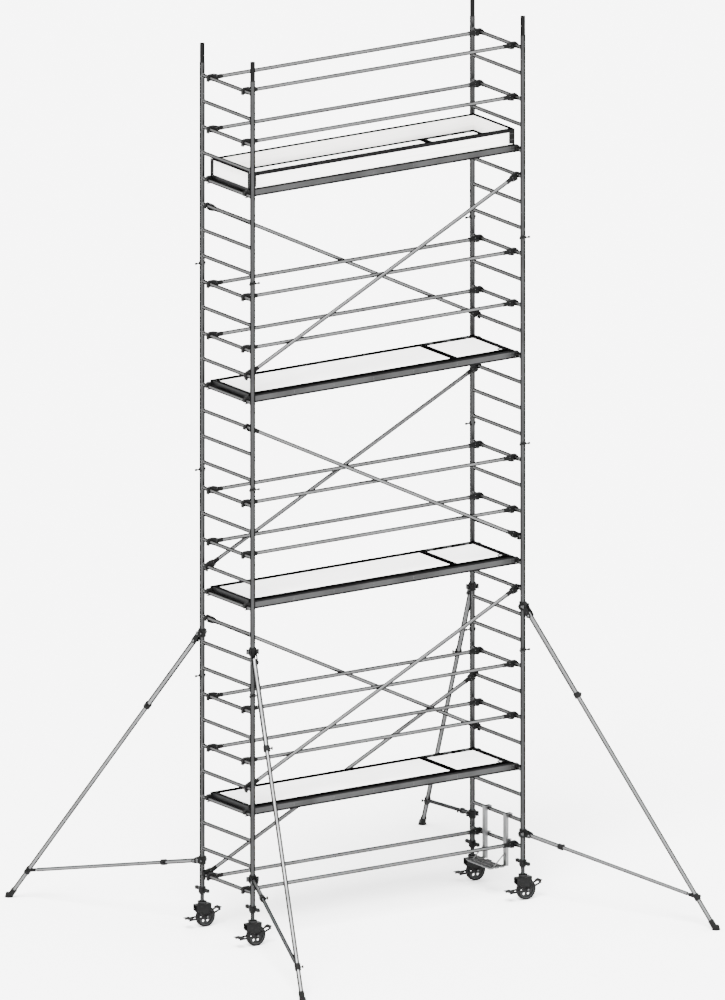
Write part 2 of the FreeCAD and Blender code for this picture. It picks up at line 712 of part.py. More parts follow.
def outrigger_strut():
    """The part that turns about the post: both clamps and the upper strut tube."""
    bore_r = LEG_R + RUNNING_GAP
    tube = pipe(
        point(along(STRUT_PIVOT, STRUT_DIR, -28)),
        point(along(STRUT_PIVOT, STRUT_DIR, STRUT_SLEEVE_LENGTH)),
        STRUT_R,
        bore_r,
    )
    pin = rod(point(STRUT_PIVOT, -60), point(STRUT_PIVOT, 60), PIVOT_PIN_R)
    shapes = [tube.cut(pin)]
    shapes.append(sleeve_end(STRUT_PIVOT, STRUT_DIR, STRUT_SLEEVE_LENGTH, STRUT_R, bore_r))
    shapes += post_clamp(CLAMP_HEIGHTS[0], STRUT_PIVOT, STRUT_R + 1)
    shapes += post_clamp(CLAMP_HEIGHTS[1], ARM_PIVOT, ARM_R + 1)
    return shapes


def outrigger_leg():
    """The sliding lower strut tube, its rubber foot and the coupler that takes the arm."""
    end = LEG_END - 46
    tube = pipe(
        point(along(STRUT_PIVOT, STRUT_DIR, STRUT_SLEEVE_LENGTH - LEG_OVERLAP)),
        point(along(STRUT_PIVOT, STRUT_DIR, end)),
        LEG_R,
        LEG_BORE_R,
    )
    core = rod(
        point(along(STRUT_PIVOT, STRUT_DIR, end - 200)),
        point(along(STRUT_PIVOT, STRUT_DIR, end)),
        LEG_R,
    )
    boot = rod(
        point(along(STRUT_PIVOT, STRUT_DIR, end - 58)),
        point(along(STRUT_PIVOT, STRUT_DIR, end + 14)),
        LEG_R + 6,
    )
    pad = Part.makeCone(40, 29, 46, Vec(FOOT[0], 0, 0))
    below_ground = box(FOOT[0] - 200, FOOT[0] + 200, -200, 200, -200, 0)
    foot = fused([boot, pad]).cut(core).cut(below_ground)
    ring_start = point(along(COUPLER, STRUT_DIR, -32))
    ring_end = point(along(COUPLER, STRUT_DIR, 32))
    parts = [rod(ring_start, ring_end, LEG_R + 8)]
    pin_tip = along(COUPLER_PIN, ARM_DIR, -16)
    for side in (-1, 1):
        y0, y1 = sorted((side * 6.5, side * 12.5))
        parts.append(bar(COUPLER, pin_tip, 15, y0, y1))
    parts.append(rod(point(COUPLER_PIN, -16), point(COUPLER_PIN, 16), COUPLER_PIN_R))
    parts.append(rod(point(COUPLER, LEG_R + 4), point(COUPLER, LEG_R + 26), 6))
    parts.append(
        rod(point(COUPLER, LEG_R + 22), point(COUPLER, LEG_R + 32), 15)
    )
    bore = rod(
        point(along(COUPLER, STRUT_DIR, -80)), point(along(COUPLER, STRUT_DIR, 80)), LEG_R
    )
    coupler = fused(parts).cut(bore)
    return [tube, foot, coupler]


def outrigger_arm():
    """The short outer tube of the lower arm, with the collar that locks its length."""
    bore_r = ARM_INNER_R + RUNNING_GAP
    tube = pipe(
        point(along(ARM_PIVOT, ARM_DIR, -24)),
        point(along(ARM_PIVOT, ARM_DIR, ARM_SLEEVE_LENGTH)),
        ARM_R,
        bore_r,
    )
    pin = rod(point(ARM_PIVOT, -60), point(ARM_PIVOT, 60), PIVOT_PIN_R + RUNNING_GAP)
    collar = sleeve_end(ARM_PIVOT, ARM_DIR, ARM_SLEEVE_LENGTH, ARM_R, bore_r)
    return [tube.cut(pin), collar]


def outrigger_arm_tube():
    """The long inner tube of the lower arm, ending in a flat eye on the coupler's pin."""
    start = along(ARM_PIVOT, ARM_DIR, ARM_SLEEVE_LENGTH - ARM_OVERLAP)
    end = along(COUPLER_PIN, ARM_DIR, -34)
    plug_start = along(COUPLER_PIN, ARM_DIR, -70)
    tube = pipe(point(start), point(end), ARM_INNER_R, ARM_INNER_BORE_R)
    plug = rod(point(plug_start), point(end), ARM_INNER_BORE_R)
    blade = bar(along(COUPLER_PIN, ARM_DIR, -50), COUPLER_PIN, 13.5, -5, 5)
    tip = rod(point(COUPLER_PIN, -5), point(COUPLER_PIN, 5), 13.5)
    eye_hole = rod(point(COUPLER_PIN, -20), point(COUPLER_PIN, 20), COUPLER_EYE_R)
    return [fused([tube, plug, blade, tip]).cut(eye_hole)]


# ---- Assembly -------------------------------------------------------------------------------


def at_corner(shapes, x_side, y_side, degrees=0.0):
    """Shapes built about a post on the Z axis, turned and moved to one corner of the tower."""
    x = x_side * HALF_LENGTH
    y = y_side * HALF_WIDTH
    return [moved(turned(shape, degrees), x, y) for shape in shapes]


def build():
    for x_side, name in ((-1, "left"), (1, "right")):
        for storey in range(STOREYS):
            save(f"end_frame_{name}_{storey + 1}", end_frame(x_side, storey))
    save("frame_clips", frame_clips())

    rails, diagonals, claws = rails_and_diagonals()
    save("level_rails", rails)
    save("diagonal_braces", diagonals)
    save("brace_claws", claws)

    heights = [rung_height(number) for number in DECK_RUNGS]
    frame_shapes = deck_frame()
    save("deck_frames", [moved(shape, z=z) for z in heights for shape in frame_shapes])
    save("deck_boards", [moved(deck_board(), z=z) for z in heights])
    hatch_shapes = hatch()
    for number, z in enumerate(heights, start=1):
        save(f"hatch_{number}", [moved(shape, z=z) for shape in hatch_shapes])
    save("toe_boards", toe_boards())
    save("access_step", access_step())

    castor_parts = {
        "castor_leg": castor_leg(),
        "levelling_nut": levelling_nut(),
        "castor_fork": castor_fork(),
        "castor_wheel": castor_wheel(),
        "castor_tyre": castor_tyre(),
        "brake_pedal": brake_pedal(),
    }
    outrigger_parts = {
        "outrigger_strut": outrigger_strut(),
        "outrigger_leg": outrigger_leg(),
        "outrigger_arm": outrigger_arm(),
        "outrigger_arm_tube": outrigger_arm_tube(),
    }
    for corner, (x_side, y_side, direction) in CORNERS.items():
        for part, shapes in castor_parts.items():
            save(f"{part}_{corner}", at_corner(shapes, x_side, y_side))
        for part, shapes in outrigger_parts.items():
            save(f"{part}_{corner}", at_corner(shapes, x_side, y_side, direction))


build()
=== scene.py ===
import json
import math

import bmesh
import bpy
from mathutils import Matrix, Vector


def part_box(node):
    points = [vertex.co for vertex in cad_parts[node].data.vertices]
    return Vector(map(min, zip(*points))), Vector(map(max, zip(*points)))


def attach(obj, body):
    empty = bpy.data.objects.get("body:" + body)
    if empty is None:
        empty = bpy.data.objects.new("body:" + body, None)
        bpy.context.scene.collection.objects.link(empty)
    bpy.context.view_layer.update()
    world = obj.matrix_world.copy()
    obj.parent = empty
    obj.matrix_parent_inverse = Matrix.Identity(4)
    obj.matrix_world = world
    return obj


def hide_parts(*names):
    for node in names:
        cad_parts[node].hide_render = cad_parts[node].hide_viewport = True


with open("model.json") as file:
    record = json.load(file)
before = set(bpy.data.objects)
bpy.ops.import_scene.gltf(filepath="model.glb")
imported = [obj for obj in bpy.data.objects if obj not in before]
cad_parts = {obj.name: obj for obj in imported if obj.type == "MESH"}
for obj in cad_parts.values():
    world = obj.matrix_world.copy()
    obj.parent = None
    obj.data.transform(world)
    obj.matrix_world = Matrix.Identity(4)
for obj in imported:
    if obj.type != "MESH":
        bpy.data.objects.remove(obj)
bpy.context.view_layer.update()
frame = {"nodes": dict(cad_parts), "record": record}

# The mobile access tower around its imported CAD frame. Metres, +X along the bay, +Z up.

# End frames
POST_R = 0.0254
RUNG_R = 0.019
RUNG_PITCH = 0.25
FIRST_RUNG = 0.125
RUNGS_PER_FRAME = 8
STOREYS = (1, 2, 3, 4)
BASE_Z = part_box("end_frame_left_1")[0].z
FRAME_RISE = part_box("end_frame_left_2")[0].z - BASE_Z
POST_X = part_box("end_frame_right_1")[1].x - POST_R
POST_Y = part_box("end_frame_right_1")[1].y - POST_R

# Decks, measured from the axis of the rung that carries them
DECK_HALF_WIDTH = 0.340
BEAM_WIDTH = 0.040
BEAM_LOW = -0.024
BEAM_HALF_LENGTH = 1.490
DECK_TOP = 0.056
BOARD_END_X = 0.855
END_BEAM_INNER_X = 1.452
HATCH_GAP = 0.003
HATCH_BACK_Y = 0.283
CROSS_MEMBER_X = (-1.0, -0.55, -0.1, 0.35, 0.842)
HINGE_X = (0.950, 1.1535, 1.357)
HINGE_RISE = 0.0055
BOARD_THICKNESS = 0.012
TOE_BOARD_THICKNESS = 0.025

# Castors
WHEEL_R = 0.100
HUB_HALF_WIDTH = 0.026
CASTOR_TRAIL = 0.035
SPINDLE_R = 0.019
RACE_TOP = 0.252
THREAD_PITCH = 0.008

# Outriggers, in a plane through the post axis: distance out from it, and height
STRUT_R = 0.025
LEG_R = 0.022
ARM_R = 0.021
STRUT_HEIGHT = 2.880
FOOT_REACH = 2.120
ARM_HEIGHT = 0.650
PIVOT_REACH = 0.080
STRUT_SLEEVE = 0.891
ARM_SLEEVE = 0.363
CLAMP_HEIGHTS = (2.856, 0.650)
CLAMP_BOLT_Y = 0.049
COUPLER_FRACTION = 0.9
BOOT_TOP = 0.046

# Level rails and diagonals: the rung at each end, left then right, and y
RAIL_RUNGS = (1, 6, 8, 14, 16, 22, 24, 30, 32)
RAIL_Y = 0.292
BRACE_Y = 0.334
LOW_BRACE_Y = 0.376
CLAW_HALF_WIDTH = 0.017
RUNGS_CLIMBED = 6
TUBES = [(rung, rung, y) for rung in RAIL_RUNGS for y in (-RAIL_Y, RAIL_Y)]
TUBES += [(5, 11, -BRACE_Y), (19, 13, -BRACE_Y), (21, 27, -BRACE_Y)]
TUBES += [(11, 5, BRACE_Y), (13, 19, BRACE_Y), (27, 21, BRACE_Y), (1, 7, LOW_BRACE_Y)]

# Added details: head radius and height, and how far a detail goes into its surface
RIVET = (0.005, 0.0022)
SMALL_RIVET = (0.0045, 0.0022)
SCREW = (0.0045, 0.0014)
SINK = 0.0002
TRIM_CHAMFER = 0.0004

NODES = frame["nodes"]
BODIES = frame["record"]["behaviour"]["bodies"]

# Corner name: x side, y side, direction of its outrigger in degrees from +X
CORNERS = {
    "left_front": (-1, -1, 249.0),
    "right_front": (1, -1, 295.0),
    "left_back": (-1, 1, 115.0),
    "right_back": (1, 1, 69.0),
}
X_AXIS = Vector((1, 0, 0))
Y_AXIS = Vector((0, 1, 0))
Z_AXIS = Vector((0, 0, 1))


def rung_height(number):
    return BASE_Z + FIRST_RUNG + RUNG_PITCH * (number - 1)


DECK_HEIGHTS = [rung_height(8 * storey - 4) for storey in STOREYS]


def post_axis(corner):
    """The point on the ground under a corner post."""
    side_x, side_y, _ = CORNERS[corner]
    return Vector((side_x * POST_X, side_y * POST_Y, 0))


def body_of(node):
    return next(body for body, nodes in BODIES.items() if node in nodes)


def everywhere(point):
    """The test of a node's last region, which takes all the faces that are left."""
    return True


def circle(steps):
    """The angles of evenly spaced steps round a circle."""
    return [2 * math.pi * step / steps for step in range(steps)]


# ---- Materials ------------------------------------------------------------------------------


class Shader:
    """A Principled material with helpers for procedural colour, roughness and bump."""

    def __init__(self, name, colour, roughness, metallic=0.0, specular=0.25, edge=1.0):
        self.material = bpy.data.materials.new(name)
        self.material.use_nodes = True
        self.tree = self.material.node_tree
        self.bsdf = self.tree.nodes["Principled BSDF"]
        self.bsdf.inputs["Base Color"].default_value = (*colour, 1)
        self.bsdf.inputs["Roughness"].default_value = roughness
        self.bsdf.inputs["Metallic"].default_value = metallic
        self.bsdf.inputs["Specular IOR Level"].default_value = specular
        self.bsdf.inputs["Specular Tint"].default_value = (*grey(edge), 1)
        self.coords = self.node("ShaderNodeTexCoord")
        self.normal = None

    def node(self, kind, **values):
        made = self.tree.nodes.new(kind)
        for key, value in values.items():
            setattr(made, key, value)
        return made

    def join(self, source, target):
        self.tree.links.new(source, target)

    def mapped(self, scale):
        mapping = self.node("ShaderNodeMapping")
        mapping.inputs["Scale"].default_value = scale
        self.join(self.coords.outputs["Object"], mapping.inputs["Vector"])
        return mapping.outputs["Vector"]

    def noise(self, scale, stretch=(1, 1, 1), detail=4.0, rough=0.5):
        made = self.node("ShaderNodeTexNoise")
        made.inputs["Scale"].default_value = scale
        made.inputs["Detail"].default_value = detail
        made.inputs["Roughness"].default_value = rough
        self.join(self.mapped(stretch), made.inputs["Vector"])
        return made.outputs["Fac"]

    def cells(self, scale):
        made = self.node("ShaderNodeTexVoronoi", feature="F1")
        made.inputs["Scale"].default_value = scale
        self.join(self.coords.outputs["Object"], made.inputs["Vector"])
        return made.outputs["Distance"]

    def wave(self, scale, direction="Z"):
        made = self.node("ShaderNodeTexWave", bands_direction=direction)
        made.inputs["Scale"].default_value = scale
        made.inputs["Distortion"].default_value = 0.0
        self.join(self.coords.outputs["Object"], made.inputs["Vector"])
        return made.outputs["Fac"]

    def maths(self, operation, first, second=None):
        made = self.node("ShaderNodeMath", operation=operation)
        for value, target in zip((first, second), made.inputs):
            if isinstance(value, (int, float)):
                target.default_value = value
            elif value is not None:
                self.join(value, target)
        return made.outputs[0]

    def dot(self, first, second):
        made = self.node("ShaderNodeVectorMath", operation="DOT_PRODUCT")
        self.join(first, made.inputs[0])
        if isinstance(second, Vector):
            made.inputs[1].default_value = second
        else:
            self.join(second, made.inputs[1])
        return made.outputs["Value"]

    def place(self):
        """The X, Y and Z of a point of the object, as three sockets."""
        split = self.node("ShaderNodeSeparateXYZ")
        self.join(self.coords.outputs["Object"], split.inputs[0])
        return split.outputs

    def ranged(self, value, low, high, new_low=0.0, new_high=1.0):
        made = self.node("ShaderNodeMapRange")
        made.inputs["From Min"].default_value = low
        made.inputs["From Max"].default_value = high
        made.inputs["To Min"].default_value = new_low
        made.inputs["To Max"].default_value = new_high
        self.join(value, made.inputs["Value"])
        return made.outputs["Result"]

    def edge_shade_mask(self, amount, axis=None):
        """A mask of painted shade: rises from nothing to amount towards the outline of a rounded
        shape as seen from the eye.

        With a tube's axis given, its middle stays at nothing however nearly the tube points
        at the eye.
        """
        surface = self.node("ShaderNodeNewGeometry")
        facing = self.dot(surface.outputs["Normal"], surface.outputs["Incoming"])
        facing = self.maths("ABSOLUTE", facing)
        if axis:
            along = self.dot(surface.outputs["Incoming"], axis)
            just_over_one = 1.0001
            square = self.maths("SUBTRACT", just_over_one, self.maths("MULTIPLY", along, along))
            facing = self.maths("DIVIDE", facing, self.maths("SQRT", square))
        return self.ranged(facing, 0.73, 0.97, amount, 0.0)

    def tint(self, factor, other):
        """Mixes another colour over the base where factor is high."""
        mix = self.node("ShaderNodeMix", data_type="RGBA")
        target = self.bsdf.inputs["Base Color"]
        if target.is_linked:
            self.join(target.links[0].from_socket, mix.inputs[6])
        else:
            mix.inputs[6].default_value = target.default_value
        mix.inputs[7].default_value = (*other, 1)
        self.join(factor, mix.inputs["Factor"])
        self.join(mix.outputs[2], target)
        return self

    def vary_roughness(self, factor, low, high):
        self.join(self.ranged(factor, 0.3, 0.7, low, high), self.bsdf.inputs["Roughness"])
        return self

    def bump(self, height, strength, distance):
        made = self.node("ShaderNodeBump")
        made.inputs["Strength"].default_value = strength
        made.inputs["Distance"].default_value = distance
        self.join(height, made.inputs["Height"])
        if self.normal:
            self.join(self.normal, made.inputs["Normal"])
        self.normal = made.outputs["Normal"]
        self.join(self.normal, self.bsdf.inputs["Normal"])
        return self


def grey(tone, warmth=0.0):
    """A grey, a little red for warmth above nothing and a little blue below it."""
    return (tone * (1 + warmth), tone, tone * (1 - warmth))


def alloy(name, tone, roughness, lines, outline_shade=0.0, axis=None):
    """Drawn aluminium: draw lines along one axis, cloudy oxide and handling marks.

    The outline strength paints shade on the edges of a tube that lies along axis, darkest where
    the eye grazes it.
    """
    made = Shader(name, grey(tone, -0.01), roughness, 1.0, edge=0.1)
    cloud = made.noise(3.5, detail=5.0)
    stretch = {"X": (2, 90, 90), "Y": (90, 2, 90), "Z": (90, 90, 2), "ALL": (14, 14, 14)}[lines]
    draw = made.noise(6.0, stretch, 3.0)
    marks = made.noise(38.0, detail=8.0, rough=0.7)
    made.tint(made.ranged(cloud, 0.42, 0.68, 0.0, 0.6), grey(tone * 0.7))
    made.tint(made.ranged(draw, 0.45, 0.75, 0.0, 0.35), grey(tone * 1.35))
    made.tint(made.ranged(marks, 0.62, 0.7, 0.0, 0.5), grey(tone * 0.45, 0.02))
    if outline_shade:
        # Painted shade: the tube's edges darken towards its outline as seen from the eye.
        made.tint(made.edge_shade_mask(outline_shade, axis), grey(0.003))
    made.vary_roughness(cloud, roughness * 0.8, roughness * 1.35)
    made.bump(draw, 0.25, 0.0004).bump(marks, 0.12, 0.0003)
    return made


def frame_alloy(tone):
    """Frame tubes: plain drawn posts, paler rungs with grip ribs along them, dark spigots, with
    painted shade in the rib grooves and along the outlines of rungs and posts.
    """
    made = alloy("frame_alloy", tone, 0.36, "Z")
    x, y, z = made.place()
    from_frame = made.maths("SUBTRACT", made.maths("ABSOLUTE", x), POST_X)
    height = made.maths("SUBTRACT", z, BASE_Z)
    in_bay = made.maths("FLOORED_MODULO", height, RUNG_PITCH)
    from_rung = made.maths("SUBTRACT", in_bay, FIRST_RUNG)
    angle = made.maths("ARCTAN2", from_rung, from_frame)
    ribs = made.maths("SINE", made.maths("MULTIPLY", angle, 26.0))
    on_rung = made.maths("LESS_THAN", made.maths("ABSOLUTE", y), POST_Y - POST_R - 0.004)
    made.tint(made.maths("MULTIPLY", on_rung, 0.8), grey(tone * 4))
    # Painted shade: the rib grooves are darkened back towards the posts' tone.
    made.tint(made.maths("MULTIPLY", on_rung, made.ranged(ribs, -1.0, 0.2, 0.5, 0.0)), grey(tone))
    # Painted shade darkens the outlines of rungs and posts as seen from the eye.
    rung_painted_shade = made.maths("MULTIPLY", on_rung, made.edge_shade_mask(0.96, Y_AXIS))
    on_post = made.maths("SUBTRACT", 1.0, on_rung)
    post_painted_shade = made.maths("MULTIPLY", on_post, made.edge_shade_mask(0.9, Z_AXIS))
    made.tint(made.maths("ADD", rung_painted_shade, post_painted_shade), grey(0.003))
    made.bump(made.maths("MULTIPLY", on_rung, ribs), 0.5, 0.0006)
    on_spigot = made.maths("GREATER_THAN", z, BASE_Z + FRAME_RISE * len(STOREYS) + 0.0005)
    made.tint(made.maths("MULTIPLY", on_spigot, 0.9), grey(0.004))
    return made.material


def coated_black(name, tone, roughness, rubbed=0.1):
    """Powder coat or moulded nylon: fine orange peel, dusty patches and rubbed spots."""
    made = Shader(name, grey(tone, -0.02), roughness, specular=0.06)
    dust = made.noise(9.0, detail=6.0)
    peel = made.noise(420.0, detail=2.0)
    rub = made.noise(70.0, detail=8.0, rough=0.7)
    made.tint(made.ranged(dust, 0.45, 0.75, 0.0, 0.4), grey(tone + 0.004, 0.02))
    made.tint(made.ranged(rub, 0.66, 0.74, 0.0, rubbed * 5), grey(0.06))
    made.vary_roughness(dust, roughness * 0.85, min(1.0, roughness * 1.3))
    made.bump(peel, 0.2, 0.0004)
    return made.material


def zinc(name, tone):
    """Zinc plate with its spangled, slightly dull mottling."""
    made = Shader(name, grey(tone, -0.02), 0.32, 1.0, edge=0.3)
    spangle = made.cells(160.0)
    cloud = made.noise(14.0, detail=5.0)
    made.tint(made.ranged(spangle, 0.2, 0.8, 0.0, 0.5), grey(tone * 0.65))
    made.tint(made.ranged(cloud, 0.55, 0.8, 0.0, 0.5), grey(tone * 0.5, 0.03))
    made.vary_roughness(cloud, 0.26, 0.5)
    made.bump(spangle, 0.12, 0.0003)
    return made.material


def board_face(name, tone, mesh_scale):
    """Coated plywood: a pressed wire-mesh tread, worn paths and scuffs."""
    made = Shader(name, grey(tone, 0.012), 0.62)
    tread = made.maths("MAXIMUM", made.wave(mesh_scale, "X"), made.wave(mesh_scale, "Y"))
    worn = made.noise(2.2, (1, 2.2, 1), 6.0)
    scuff = made.noise(26.0, (0.35, 2.5, 1), 8.0, 0.7)
    made.tint(made.ranged(tread, 0.75, 1.0, 0.0, 0.3), grey(tone * 0.75, 0.01))
    made.tint(made.ranged(worn, 0.4, 0.7, 0.0, 0.6), grey(min(1.0, tone * 1.1), 0.01))
    made.tint(made.ranged(scuff, 0.6, 0.72, 0.0, 0.4), grey(tone * 0.55, 0.02))
    made.vary_roughness(worn, 0.7, 0.5)
    made.bump(tread, 0.5, 0.0008).bump(scuff, 0.15, 0.0004)
    return made.material


def timber(name, tone):
    """Sealed softwood with long grain along X and a few darker streaks."""
    made = Shader(name, grey(tone, 0.02), 0.55)
    grain = made.noise(9.0, (0.35, 14, 14), 8.0, 0.62)
    streak = made.noise(3.0, (0.2, 6, 6), 4.0)
    made.tint(made.ranged(grain, 0.35, 0.75, 0.0, 0.7), grey(tone * 0.84, 0.03))
    made.tint(made.ranged(streak, 0.58, 0.72, 0.0, 0.5), grey(tone * 0.7, 0.04))
    made.vary_roughness(grain, 0.48, 0.66)
    made.bump(grain, 0.35, 0.0006)
    return made.material


def rubber(name, tone):
    """Matt rubber with a fine grain and pale dust."""
    made = Shader(name, grey(tone), 0.78, specular=0.08)
    dust = made.noise(30.0, detail=7.0)
    grain = made.noise(600.0, detail=2.0)
    made.tint(made.ranged(dust, 0.45, 0.75, 0.0, 0.55), grey(tone + 0.004, 0.03))
    made.vary_roughness(dust, 0.68, 0.92)
    made.bump(grain, 0.35, 0.0004).bump(dust, 0.15, 0.0005)
    return made.material


FRAME_ALLOY = frame_alloy(0.028)
# Rails and braces get painted shade along their outlines, set by each tube's direction.
RAIL_ALLOY = alloy("rail_alloy", 0.085, 0.34, "X", 0.96, X_AXIS).material
BRACE_RISE = Vector((2 * POST_X, 0, RUNGS_CLIMBED * RUNG_PITCH)).normalized()
BRACE_FALL = Vector((2 * POST_X, 0, -RUNGS_CLIMBED * RUNG_PITCH)).normalized()
RISING_ALLOY = alloy("rising_alloy", 0.085, 0.34, "X", 0.96, BRACE_RISE).material
FALLING_ALLOY = alloy("falling_alloy", 0.085, 0.34, "X", 0.96, BRACE_FALL).material
BEAM_ALLOY = alloy("beam_alloy", 0.035, 0.42, "X").material
EDGE_ALLOY = alloy("edge_alloy", 0.006, 0.42, "X").material
STIFFENER_ALLOY = alloy("trim_alloy", 0.05, 0.40, "ALL").material
STEP_ALLOY = alloy("strip_alloy", 0.12, 0.40, "Z").material
WELD_ALLOY = alloy("weld_alloy", 0.10, 0.45, "ALL").material
NYLON = coated_black("claw_nylon", 0.0015, 0.6, 0.01)
CLIP_STEEL = coated_black("clip_steel", 0.002, 0.5, 0.05)
CAST_BLACK = coated_black("cast_black", 0.002, 0.55, 0.04)
POWDER = coated_black("fork_powder", 0.002, 0.5, 0.04)
PEDAL_COAT = coated_black("pedal_powder", 0.003, 0.5, 0.06)
WHEEL_NYLON = coated_black("wheel_nylon", 0.014, 0.48, 0.02)
ZINC = zinc("zinc_plate", 0.06)
SPINDLE_ZINC = zinc("spindle_zinc", 0.02)
BOARD = board_face("deck_coating", 0.78, 55.0)
TOE_TIMBER = timber("toe_timber", 0.82)
TYRE = rubber("tyre_rubber", 0.002)
FOOT_RUBBER = rubber("foot_rubber", 0.002)


def dress(node, material):
    """Gives a carried-over CAD node its finish."""
    piece = NODES[node]
    piece.data.materials.clear()
    piece.data.materials.append(material)


# ---- Mesh helpers ---------------------------------------------------------------------------


def new_piece(name, mesh, material, body, smooth_degrees=35):
    """Turns a bmesh into an object that rides on a body."""
    bmesh.ops.recalc_face_normals(mesh, faces=mesh.faces)
    data = bpy.data.meshes.new(name)
    mesh.to_mesh(data)
    mesh.free()
    data.materials.append(material)
    data.shade_smooth()
    data.set_sharp_from_angle(angle=math.radians(smooth_degrees))
    piece = bpy.data.objects.new(name, data)
    bpy.context.scene.collection.objects.link(piece)
    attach(piece, body)
    return piece


def soften(piece, width):
    """Rounds a piece's sharp edges a little, as moulding, casting or finishing leaves them."""
    bevel = piece.modifiers.new("soften", "BEVEL")
    bevel.width = width
    bevel.segments = 2
    bevel.limit_method = "ANGLE"
    bevel.angle_limit = math.radians(50)
    bevel.use_clamp_overlap = True


def split_node(node, regions):
    """Replaces a node by pieces that together hold all its faces.

    regions is a list of (name, test of a face's centre, material, slot, bevel). A face goes to
    the first region whose test it passes.
    """
    source = NODES[node]
    owner = []
    for polygon in source.data.polygons:
        owner.append(next(name for name, test, *_ in regions if test(polygon.center)))
    pieces = []
    for name, _, material, slot, bevel in regions:
        mesh = bmesh.new()
        mesh.from_mesh(source.data)
        unwanted = [face for face, own in zip(mesh.faces, owner) if own != name]
        bmesh.ops.delete(mesh, geom=unwanted, context="FACES")
        bmesh.ops.remove_doubles(mesh, verts=mesh.verts, dist=2e-6)
        piece = new_piece(name, mesh, material, body_of(node))
        if bevel:
            soften(piece, bevel)
        pieces.append(piece)
    for piece in pieces:
        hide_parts(node)


def add_ring(mesh, centre, normal, across, radius, sides):
    """A circle of new vertices in the plane of normal and across."""
    ring = []
    for turn in circle(sides):
        offset = (normal * math.cos(turn) + across * math.sin(turn)) * radius
        ring.append(mesh.verts.new(centre + offset))
    return ring


def join_rings(mesh, first, second):
    """A band of faces between two rings of vertices."""
    for k in range(len(first)):
        after = (k + 1) % len(first)
        mesh.faces.new((first[k], first[after], second[after], second[k]))


def cap_rings(mesh, rings):
    mesh.faces.new(tuple(reversed(rings[0])))
    mesh.faces.new(tuple(rings[-1]))


def add_tube(mesh, points, radius, sides=8, closed=False):
    """A round tube through the points, added to a bmesh."""
    count = len(points)
    rings = []
    normal = None
    for i, here in enumerate(points):
        ahead = points[(i + 1) % count] if closed or i + 1 < count else here
        behind = points[i - 1] if closed or i > 0 else here
        tangent = (ahead - behind).normalized()
        if normal is None:
            normal = tangent.orthogonal().normalized()
        normal = (normal - tangent * normal.dot(tangent)).normalized()
        across = tangent.cross(normal)
        rings.append(add_ring(mesh, here, normal, across, radius, sides))
    following = rings[1:] + rings[:1] if closed else rings[1:]
    for first, second in zip(rings, following):
        join_rings(mesh, first, second)
    if not closed:
        cap_rings(mesh, rings)


def add_turned(mesh, profile, origin, axis, sides=24, closed=False):
    """A solid of revolution about axis from (distance along, radius) points.

    Its ends are capped, or with closed the last point joins the first, as in a ring.
    """
    axis = axis.normalized()
    normal = axis.orthogonal().normalized()
    across = axis.cross(normal)
    rings = []
    for distance, radius in profile:
        centre = origin + axis * distance
        rings.append(add_ring(mesh, centre, normal, across, radius, sides))
    following = rings[1:] + rings[:1] if closed else rings[1:]
    for first, second in zip(rings, following):
        join_rings(mesh, first, second)
    if not closed:
        cap_rings(mesh, rings)


def add_dome(mesh, origin, axis, radius, height, sides=14):
    """A low rivet or screw head standing on a surface."""
    steps = 4
    short_of_pole = 0.96
    profile = [(-SINK, radius)]
    for step in range(steps + 1):
        turn = math.pi / 2 * step / steps * short_of_pole
        profile.append((height * math.sin(turn), radius * math.cos(turn)))
    add_turned(mesh, profile, origin, axis, sides)


def add_block(mesh, low, high, chamfer=0.0):
    """A box between two corners, with its edges chamfered if asked."""
    size = Vector(high) - Vector(low)
    middle = (Vector(high) + Vector(low)) / 2
    scale = Matrix.Diagonal((*size, 1))
    made = bmesh.ops.create_cube(mesh, size=1, matrix=Matrix.Translation(middle) @ scale)
    if chamfer:
        edges = {edge for vert in made["verts"] for edge in vert.link_edges}
        bmesh.ops.bevel(mesh, geom=list(edges), offset=chamfer, segments=2, affect="EDGES")


# ---- Frames ---------------------------------------------------------------------------------


def add_weld(mesh, centre, side):
    """A rippled fillet weld round the end of a rung that is coped to its post."""
    ripples = 20
    ripple_height = 0.0005
    throat = 0.0012
    bead_r = 0.0028
    points = []
    for turn in circle(40):
        x = RUNG_R * math.cos(turn)
        z = RUNG_R * math.sin(turn)
        depth = math.sqrt(POST_R ** 2 - x ** 2)
        outward = 1 + (throat + ripple_height * math.sin(ripples * turn)) / RUNG_R
        y = side * (POST_Y - depth - throat)
        points.append(centre + Vector((x * outward, y, z * outward)))
    add_tube(mesh, points, bead_r, 6, closed=True)


def make_welds():
    for name, side_x in (("left", -1), ("right", 1)):
        for storey in STOREYS:
            mesh = bmesh.new()
            for number in range(RUNGS_PER_FRAME):
                height = rung_height(RUNGS_PER_FRAME * (storey - 1) + number + 1)
                for side in (-1, 1):
                    add_weld(mesh, Vector((side_x * POST_X, 0, height)), side)
            new_piece(f"frame_welds_{name}_{storey}", mesh, WELD_ALLOY, "tower")


def make_spigot_rivets():
    """The rivets that hold each spigot in its post."""
    mesh = bmesh.new()
    for corner in CORNERS:
        for storey in STOREYS:
            top = BASE_Z + FRAME_RISE * storey
            for drop in (0.035, 0.075):
                for outward in (X_AXIS, -X_AXIS):
                    centre = post_axis(corner) + Z_AXIS * (top - drop)
                    add_dome(mesh, centre + outward * POST_R, outward, *RIVET)
    new_piece("spigot_rivets", mesh, ZINC, "tower")


def is_rising(point):
    """Whether a point of the diagonal braces is on one that climbs to the right."""
    tube_reach = 0.02
    for left_rung, right_rung, y in TUBES:
        low, high = sorted((rung_height(left_rung), rung_height(right_rung)))
        if abs(y - point.y) < tube_reach and low < point.z < high:
            return left_rung < right_rung
    return False


